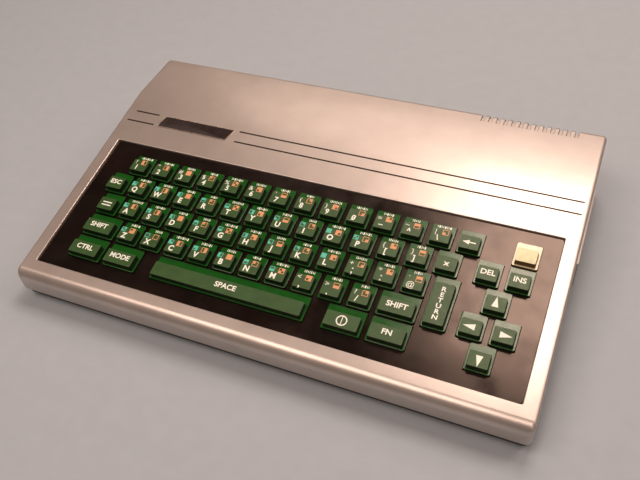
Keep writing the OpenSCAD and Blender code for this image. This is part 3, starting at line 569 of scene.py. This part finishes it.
def legends(bm, key, x, front, width, depth, seed):
    """Adds a cap's prints. The seed picks the block marks' quarters and the ticks."""
    left, right = x - width / 2 + LEDGE_SIDE, x + width / 2 - LEDGE_SIDE
    near, far = front + LEDGE_FRONT, front + depth - LEDGE_BACK
    middle = Vector((x, (near + far) / 2, PRINT_LEVEL))
    kind, prints = key["kind"], []
    if kind == "char":
        char_legends(bm, key, x, near, far, left, right, seed)
    elif kind == "word":
        prints = [printed(key["sign"], WORD_HEIGHT, middle + Vector((0, 0.7, 0)), stretch=1.04)]
    elif kind == "stacked":
        for i, letter in enumerate(key["sign"]):
            drop = Vector((0, (len(key["sign"]) / 2 - 0.5 - i) * STACK_STEP, 0))
            prints.append(printed(letter, STACKED_HEIGHT, middle + drop))
    elif kind in ARROW_TURNS:
        prints = [arrow(middle, ARROW_TURNS[kind])]
    elif kind == "ring":
        prints = [ring(middle, RING)]
    elif kind == "left_line":
        prints = [arrow(middle - Vector((1.8, 0, 0)), 90, length=4.4, width=3.6),
                  brick((4.2, BAR, INK_DEPTH), middle + Vector((1.7, 0, 0)))]
    elif kind == "cross":
        prints = [printed("x", CROSS_HEIGHT, middle)]
    elif kind == "lines":
        prints = [brick((7.4, BAR, INK_DEPTH), middle + Vector((0, level, 0))) for level in (-1.2, 1.2)]
    for part in prints:
        add_part(bm, part, INKS["white"])


def placed(key):
    """A cap's middle across the deck, its front edge, its width and its depth."""
    wide, deep = key.get("wide", 1), key.get("deep", 1)
    x = (key["column"] + ROW_INDENTS[key["row"] - 1] + wide / 2 - LAYOUT_MIDDLE) * PITCH
    front = FIRST_ROW - (key["row"] - 1) * PITCH - (PITCH - GAP_DEEP)
    return x, front, wide * PITCH - GAP_SIDE, deep * PITCH - GAP_DEEP


number = 0
for group, keys in KEYS.items():
    bm = bmesh.new()
    for key in keys:
        number += 1
        x, front, width, depth = placed(key)
        add_part(bm, cap(x, front, width, depth), TOP)
        stem_and_ears(bm, x, front, width, depth)
        legends(bm, key, x, front, width, depth, number)
    bm.normal_update()
    # Steep faces take the walls' darker colour, which is painted shade. Faces at the block's top take the
    # top's greyer colour, which is partly painted sheen.
    for face in bm.faces:
        if face.material_index == TOP:
            level = face.calc_center_median().z
            face.material_index = PAINTED_SHADE_SIDE if face.normal.z < 0.6 else TOP if level > BLOCK_TOP - 0.5 else SHELF
    bmesh.ops.transform(bm, matrix=DECK, verts=bm.verts)
    mesh = bpy.data.meshes.new(group + "_caps")
    bm.to_mesh(mesh)
    bm.free()
    cream = group == "key_reset"
    for material in (*(key_cream if cream else key_green), ink_white, ink_blue, ink_orange):
        mesh.materials.append(material)
    shade_by_angle(mesh, 40)
    caps = bpy.data.objects.new(group + "_caps", mesh)
    bpy.context.scene.collection.objects.link(caps)
    even = caps.modifiers.new("even", "WEIGHTED_NORMAL")
    even.keep_sharp = True
    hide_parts(group)
    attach(caps, group + "_body")


# Top shell: one moulding painted fine metallic silver. Its side profile is pushed across the
# whole width, its outer edges are rounded to their different radii, and then the inside, the
# panel's opening, the vents, the socket bay and the cartridge opening are taken out of it.
WALL, HALF_WIDTH, BACK, SKIRT = 2.5, 178, 226, 9.5
PROFILE = ((0, SKIRT), (0, CREST - CREASE * math.tan(SLOPE)), (CREASE, CREST), (BACK, CREST), (BACK, SKIRT))
FRONT_ROLL, BACK_ROLL, CORNER, DECK_SIDE = 6.9, 3.5, 4, 2.2
INNER_ROLL, INNER_LOW = 5.0, 5
CASE_FROM_DECK = Matrix.Translation((0, CREASE, CREST)) @ Matrix.Rotation(SLOPE, 4, "X")
OPENING, OPENING_MIDDLE, OPENING_CUT = (335.8, 115), (0, -107.5), (-6, 3)
OPENING_CORNER, OPENING_CHAMFER, CUT_EDGE = 1.0, 0.7, 0.3
POSTS = ((-166, 212), (-18.5, 212), (167, 212), (-166, 143), (96, 143))
POST_RADIUS, POST_LOW, SCREW_RADIUS, SCREW_TIP = 3.4, 24, 1.5, 34.5
VENTS, VENT_PITCH, FIRST_VENT = 13, 5.5, 158
GROOVE, GROOVE_PLACE = (2.6, 10, 2.2), (222, 51.9)
VENT, VENT_PLACE = (2.6, 4.5, 11), (224.75, 47.5)
BAY, BAY_MIDDLE = (330, 4.5, 38), (1, 224.75, 19)
SIDE_HOLE, SIDE_HOLE_MIDDLE = (4.5, 67.4, 31.2), (177.75, 156.7, 15.6)
silver_paint = finish("silver_paint", (0.53, 0.485, 0.45), 0.33, vary=0.05, cloud=0.02, grain=0.0005,
                      bump=0.05, metal=0.68, rough_vary=0.015)
cavity_plastic = finish("cavity_plastic", (0.05, 0.048, 0.046), 0.6, grain=0.0006, bump=0.2)


def new_object(name, bm, material):
    mesh = bpy.data.meshes.new(name)
    bm.to_mesh(mesh)
    bm.free()
    mesh.materials.append(material)
    piece = bpy.data.objects.new(name, mesh)
    bpy.context.scene.collection.objects.link(piece)
    return piece


def apply_modifiers(piece):
    bpy.context.view_layer.update()
    mesh = bpy.data.meshes.new_from_object(piece.evaluated_get(bpy.context.evaluated_depsgraph_get()))
    piece.modifiers.clear()
    old, piece.data = piece.data, mesh
    bpy.data.meshes.remove(old)


def prism(profile, half_width):
    """A closed solid of a side profile pushed across the machine."""
    bm = bmesh.new()
    side = bm.faces.new([bm.verts.new((-half_width, y, z)) for y, z in profile])
    pushed = corners_of(bmesh.ops.extrude_face_region(bm, geom=[side]))
    bmesh.ops.translate(bm, verts=pushed, vec=(2 * half_width, 0, 0))
    bmesh.ops.recalc_face_normals(bm, faces=bm.faces)
    return bm


def carve(piece, cutter, operation="DIFFERENCE"):
    """Takes the cutter out of the piece, or joins it on, with the cutter's own finish on the new faces."""
    cut = piece.modifiers.new("cut", "BOOLEAN")
    cut.operation, cut.object, cut.solver = operation, cutter, "EXACT"
    cut.material_mode = "TRANSFER"
    apply_modifiers(piece)
    bpy.data.objects.remove(cutter)


outer = prism(PROFILE, HALF_WIDTH)
weight = outer.edges.layers.float.new("bevel_weight_edge")
for edge in outer.edges:
    a, b = edge.verts[0].co, edge.verts[1].co
    low, along_x = min(a.z, b.z), abs(a.x - b.x) > 1
    if along_x and low > 20:
        radius = FRONT_ROLL if a.y < 1 else BACK_ROLL if a.y > 200 else 0
    elif along_x or max(a.z, b.z) < 10:
        radius = 0
    elif abs(a.y - b.y) < 1:
        radius = CORNER
    else:
        radius = DECK_SIDE
    edge[weight] = radius / FRONT_ROLL
shell = new_object("upper_shell", outer, silver_paint)
rounding = shell.modifiers.new("rounding", "BEVEL")
rounding.width, rounding.segments, rounding.limit_method = FRONT_ROLL, 8, "WEIGHT"
rounding.use_clamp_overlap = False
apply_modifiers(shell)

ceiling = CREST - WALL
inner = prism(((WALL, INNER_LOW), (WALL, ceiling - (CREASE - WALL) * math.tan(SLOPE)),
               (CREASE + WALL * math.tan(SLOPE / 2), ceiling), (BACK - WALL, ceiling),
               (BACK - WALL, INNER_LOW)), HALF_WIDTH - WALL)
front_top = [e for e in inner.edges if abs(e.verts[0].co.x - e.verts[1].co.x) > 1
             and max(v.co.y for v in e.verts) < 10 and min(v.co.z for v in e.verts) > 10]
round_edges(inner, front_top, INNER_ROLL)
carve(shell, new_object("inside", inner, cavity_plastic))


def rounded_slab(width, depth, radius, low, high, middle):
    """A flat slab between two levels, its upright corners rounded."""
    bm = brick((width, depth, high - low), (middle[0], middle[1], (low + high) / 2))
    round_edges(bm, [e for e in bm.edges if rise(e) > (high - low) / 2], radius)
    return bm


opening = rounded_slab(*OPENING, OPENING_CORNER, *OPENING_CUT, OPENING_MIDDLE)
bmesh.ops.transform(opening, matrix=CASE_FROM_DECK, verts=opening.verts)
carve(shell, new_object("opening", opening, silver_paint))
for post in POSTS:
    under_deck = CREST - max(0, CREASE - post[1]) * math.tan(SLOPE) - WALL / 2
    for name, radius, low, high, operation in (
            ("post", POST_RADIUS, POST_LOW, under_deck, "UNION"),
            ("bore", SCREW_RADIUS, POST_LOW - 1, SCREW_TIP, "DIFFERENCE")):
        round_bar = bmesh.new()
        bmesh.ops.create_cone(round_bar, cap_ends=True, segments=24, radius1=radius, radius2=radius,
                              depth=high - low)
        bmesh.ops.translate(round_bar, verts=round_bar.verts, vec=(*post, (high + low) / 2))
        carve(shell, new_object(name, round_bar, cavity_plastic), operation)

# The rim of the opening is chamfered, and catches the light as a thin bright line.
rim = bmesh.new()
rim.from_mesh(shell.data)
to_deck = CASE_FROM_DECK.inverted()


def on_rim(vertex):
    across, along, level = to_deck @ vertex.co
    return (abs(level) < 0.02 and abs(across - OPENING_MIDDLE[0]) < OPENING[0] / 2 + 0.1
            and abs(along - OPENING_MIDDLE[1]) < OPENING[1] / 2 + 0.1)


round_edges(rim, [e for e in rim.edges if on_rim(e.verts[0]) and on_rim(e.verts[1])], OPENING_CHAMFER)
rim.to_mesh(shell.data)
rim.free()

for name, size, place, material in (("grooves", GROOVE, GROOVE_PLACE, silver_paint),
                                    ("slots", VENT, VENT_PLACE, cavity_plastic)):
    cutters = bmesh.new()
    for i in range(VENTS):
        add_part(cutters, brick(size, (FIRST_VENT - i * VENT_PITCH, *place)), 0)
    carve(shell, new_object(name, cutters, material))
carve(shell, new_object("bay", brick(BAY, BAY_MIDDLE), silver_paint))
carve(shell, new_object("side", brick(SIDE_HOLE, SIDE_HOLE_MIDDLE), silver_paint))
edge = shell.modifiers.new("edge", "BEVEL")
edge.width, edge.segments, edge.limit_method, edge.angle_limit = CUT_EDGE, 2, "ANGLE", math.radians(45)
edge.use_clamp_overlap = False
apply_modifiers(shell)

# Two thin dark lines run across the top of the deck, broken for the nameplate. Each is given by its
# place along the deck and by its left end.
LINES, LINE_END = ((-19.4, -169), (-29.4, -172)), 174
LINE_WIDTH, LINE_DEPTH, LINE_LEVEL = 1.3, 0.5, -0.05
PLATE_LEFT, PLATE_RIGHT = -148, -77
line_ink = finish("line_ink", (0.03, 0.02, 0.014), 0.6, bump=0.02, shine=0.2)
lines = bmesh.new()
for along, left_end in LINES:
    for start, end in ((left_end, PLATE_LEFT), (PLATE_RIGHT, LINE_END)):
        middle = ((start + end) / 2, along, LINE_LEVEL)
        add_part(lines, brick((end - start, LINE_WIDTH, LINE_DEPTH), middle), 0)
bmesh.ops.transform(lines, matrix=CASE_FROM_DECK, verts=lines.verts)
carve(shell, new_object("lines", lines, line_ink))

# The cuts can leave a hairline crack, which is closed before the shell is placed.
shell_mesh = bmesh.new()
shell_mesh.from_mesh(shell.data)
bmesh.ops.holes_fill(shell_mesh, edges=[e for e in shell_mesh.edges if e.is_boundary], sides=0)
bmesh.ops.transform(shell_mesh, matrix=TO_ROW, verts=shell_mesh.verts)
shell_mesh.to_mesh(shell.data)
shell_mesh.free()
shade_by_angle(shell.data, 35)
even = shell.modifiers.new("even", "WEIGHTED_NORMAL")
even.keep_sharp = True
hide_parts("top_case")
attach(shell, "case")


# Slot tunnel: a rectangular tube through the right side, with its rim outside. It is moulded in
# the same silver as the top shell, so it takes the same paint.
eased("cartridge_guide", "slot_tunnel", silver_paint, 0.0003)


# Dome sheet: pale silicone rubber under the keys, a flat web with a dome below each stem. The
# domes of a key group are one piece.
SHEET_LOW, SHEET_TOP, TRAVEL = -9.6, -8.4, 2.2
DOME_RADIUS, DOME_SKIN, DOME_HEIGHT = 5.5, 0.8, STEM_BOTTOM - SHEET_LOW
DOME = ((0, STEM_BOTTOM), (2.8, STEM_BOTTOM), (DOME_RADIUS, SHEET_TOP), (DOME_RADIUS, SHEET_LOW),
        (4.58, SHEET_LOW), (2.0, STEM_BOTTOM - DOME_SKIN), (0, STEM_BOTTOM - DOME_SKIN))
SHEET, SHEET_CORNER = (339.2, 118.4), 1
BOSS_REACH, BOSS_HOLE = (163.4, 53), 3.1
dome_rubber = finish("dome_rubber", (0.42, 0.42, 0.39), 0.6, grain=0.0005, bump=0.1)


def turned(profile, x, y):
    """A closed body turned from (radius, level) points about an upright axis."""
    bm = bmesh.new()
    points = [bm.verts.new((radius, 0, level)) for radius, level in profile]
    edges = [bm.edges.new(pair) for pair in zip(points, points[1:])]
    bmesh.ops.spin(bm, geom=points + edges, cent=(0, 0, 0), axis=(0, 0, 1), angle=math.tau, steps=24)
    bmesh.ops.remove_doubles(bm, verts=bm.verts, dist=0.001)
    bmesh.ops.recalc_face_normals(bm, faces=bm.faces)
    bmesh.ops.translate(bm, verts=bm.verts, vec=(x, y, 0))
    return bm


def punch(radius, x, y):
    """A round cutter right through the sheet."""
    high, low = SHEET_TOP + 1, SHEET_LOW - 1
    return turned(((0, high), (radius, high), (radius, low), (0, low)), x, y)


def rubber_piece(piece):
    """Lays a part of the sheet under the deck, where it rides with the case."""
    piece.data.transform(DECK)
    shade_by_angle(piece.data)
    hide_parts("dome_sheet")
    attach(piece, "case")
    return piece


holes = bmesh.new()
for across in (-1, -0.5, 0, 0.5, 1):
    for side in (-1, 1):
        boss = (across * BOSS_REACH[0], OPENING_MIDDLE[1] + side * BOSS_REACH[1])
        add_part(holes, punch(BOSS_HOLE, *boss), 0)
for group, keys in KEYS.items():
    domes = bmesh.new()
    for key in keys:
        x, front = placed(key)[:2]
        add_part(domes, turned(DOME, x, front + STEM_BACK), 0)
        add_part(holes, punch(DOME_RADIUS, x, front + STEM_BACK), 0)
    domes = rubber_piece(new_object(group + "_domes", domes, dome_rubber))
    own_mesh(domes)
web = new_object("dome_web", rounded_slab(*SHEET, SHEET_CORNER, SHEET_LOW, SHEET_TOP, OPENING_MIDDLE),
                 dome_rubber)
carve(web, new_object("holes", holes, dome_rubber))
rubber_piece(web)


# Nameplate: a thin blank plate with slanted ends, glued between the two lines. Its sunk middle is
# dark anodised, and the narrow rim round it is left bright.
PLATE, PLATE_MIDDLE, PLATE_LEVEL = (60, 11.2, 0.5), Vector((-113, -24.6, 0)), 0.2
SLANT = Matrix(((1, 0.3, 0, 0), (0, 1, 0, 0), (0, 0, 1, 0), (0, 0, 0, 1)))
PLATE_ROUND, PLATE_RIM, PLATE_SINK = 1.2, 0.55, 0.15
plate_ink = finish("plate_dark", (0.02, 0.012, 0.011), 0.33, vary=0.3, cloud=0.01, grain=0.0004, bump=0.06)
plate_rim = finish("plate_rim", (0.62, 0.54, 0.48), 0.28, metal=1.0, grain=0.0003, bump=0.04)
plate = brick(PLATE, PLATE_MIDDLE + Vector((0, 0, PLATE_LEVEL)))
bmesh.ops.transform(plate, verts=plate.verts, matrix=Matrix.Translation(PLATE_MIDDLE) @ SLANT
                    @ Matrix.Translation(-PLATE_MIDDLE))
round_edges(plate, [e for e in plate.edges if rise(e) > 0.2], PLATE_ROUND)
middle_face = max(plate.faces, key=lambda face: face.calc_center_median().z)
bmesh.ops.inset_region(plate, faces=[middle_face], thickness=PLATE_RIM, depth=0)
bmesh.ops.translate(plate, verts=middle_face.verts, vec=(0, 0, -PLATE_SINK))
middle_face.material_index = 1
bmesh.ops.transform(plate, matrix=DECK, verts=plate.verts)
name_plate = new_object("blank_plate", plate, plate_rim)
name_plate.data.materials.append(plate_ink)
shade_by_angle(name_plate.data)
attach(name_plate, "case")


# Switch marks: ON and OFF in white ink on the rear plate, beside the rocker and level with its
# two ends.
MARK_HEIGHT, MARK_ACROSS, ON_LEVEL, OFF_LEVEL, PLATE_FACE = 2.2, -161.3, 31, 20.5, 107.87
UPRIGHT = Matrix.Rotation(math.pi, 4, "Z") @ Matrix.Rotation(math.pi / 2, 4, "X")
marks = bmesh.new()
for mark, level in (("ON", ON_LEVEL), ("OFF", OFF_LEVEL)):
    add_part(marks, printed(mark, MARK_HEIGHT, (MARK_ACROSS, level, 0)), 0)
bmesh.ops.transform(marks, matrix=MILLIMETRES @ Matrix.Translation((0, PLATE_FACE, 0)) @ UPRIGHT,
                    verts=marks.verts)
switch_marks = new_object("switch_marks", marks, ink_white)
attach(switch_marks, "case")


# Screws: zinc-plated pan heads. Five go up through the bottom shell into the top shell's posts,
# and the others hold the main board and the keyboard's layers.
coat_node("case_screws", steel)
coat_node("inner_screws", steel)


# Room: a plain pale floor, a warm ceiling panel that the right half of the deck mirrors, and
# softer lights at the right, behind and in front, all in metres and watts. The camera looks
# down over the front edge.
floor_mesh = bmesh.new()
bmesh.ops.create_grid(floor_mesh, x_segments=1, y_segments=1, size=3)
floor = new_object("floor", floor_mesh, finish("floor_paper", (0.38, 0.44, 0.49), 0.8, vary=0.02, bump=0.01))


def lamp(name, place, target, size, power):
    """A warm rectangular light that faces its target."""
    data = bpy.data.lights.new(name, "AREA")
    data.shape, data.size, data.size_y = "RECTANGLE", *size
    data.energy, data.color = power, (1.0, 0.76, 0.64)
    light = bpy.data.objects.new(name, data)
    light.location = place
    light.rotation_mode = "QUATERNION"
    light.rotation_quaternion = (Vector(target) - Vector(place)).to_track_quat("-Z", "Y")
    bpy.context.scene.collection.objects.link(light)


lamp("ceiling_light", (0.12, 0.51, 1.2), (0.05, 0, 0), (0.42, 0.5), 7.6)
lamp("right_light", (0.85, 0.5, 1.05), (0, 0, 0), (0.5, 0.5), 4.5)
lamp("rear_light", (-0.2, 1.08, 1.2), (0, 0, 0), (1.2, 0.6), 4.6)
lamp("front_light", (-0.3, -0.5, 1.2), (-0.05, -0.1, 0), (1.2, 0.5), 9.5)
bpy.context.scene.view_settings.view_transform = "Standard"
world = bpy.data.worlds.new("room")
world.use_nodes = True
world.node_tree.nodes["Background"].inputs["Color"].default_value = (1.0, 0.74, 0.62, 1)
world.node_tree.nodes["Background"].inputs["Strength"].default_value = 0.14
bpy.context.scene.world = world

IMAGE_WIDTH, FOCAL_PIXELS, SENSOR = 640, 737.9, 36
CAMERA_PLACE = (0.17507, -0.32419, 0.39569)
HEADING, LOOK_DOWN, ROLL = math.radians(28.234), math.radians(47.148), math.radians(-7.519)
lens = bpy.data.cameras.new("camera")
lens.sensor_width, lens.lens = SENSOR, FOCAL_PIXELS / IMAGE_WIDTH * SENSOR
lens.clip_start, lens.clip_end = 0.01, 20
camera = bpy.data.objects.new("camera", lens)
camera.matrix_world = (Matrix.Translation(CAMERA_PLACE) @ Matrix.Rotation(HEADING, 4, "Z")
                       @ Matrix.Rotation(math.pi / 2 - LOOK_DOWN, 4, "X") @ Matrix.Rotation(ROLL, 4, "Z"))
bpy.context.scene.collection.objects.link(camera)
bpy.context.scene.camera = camera
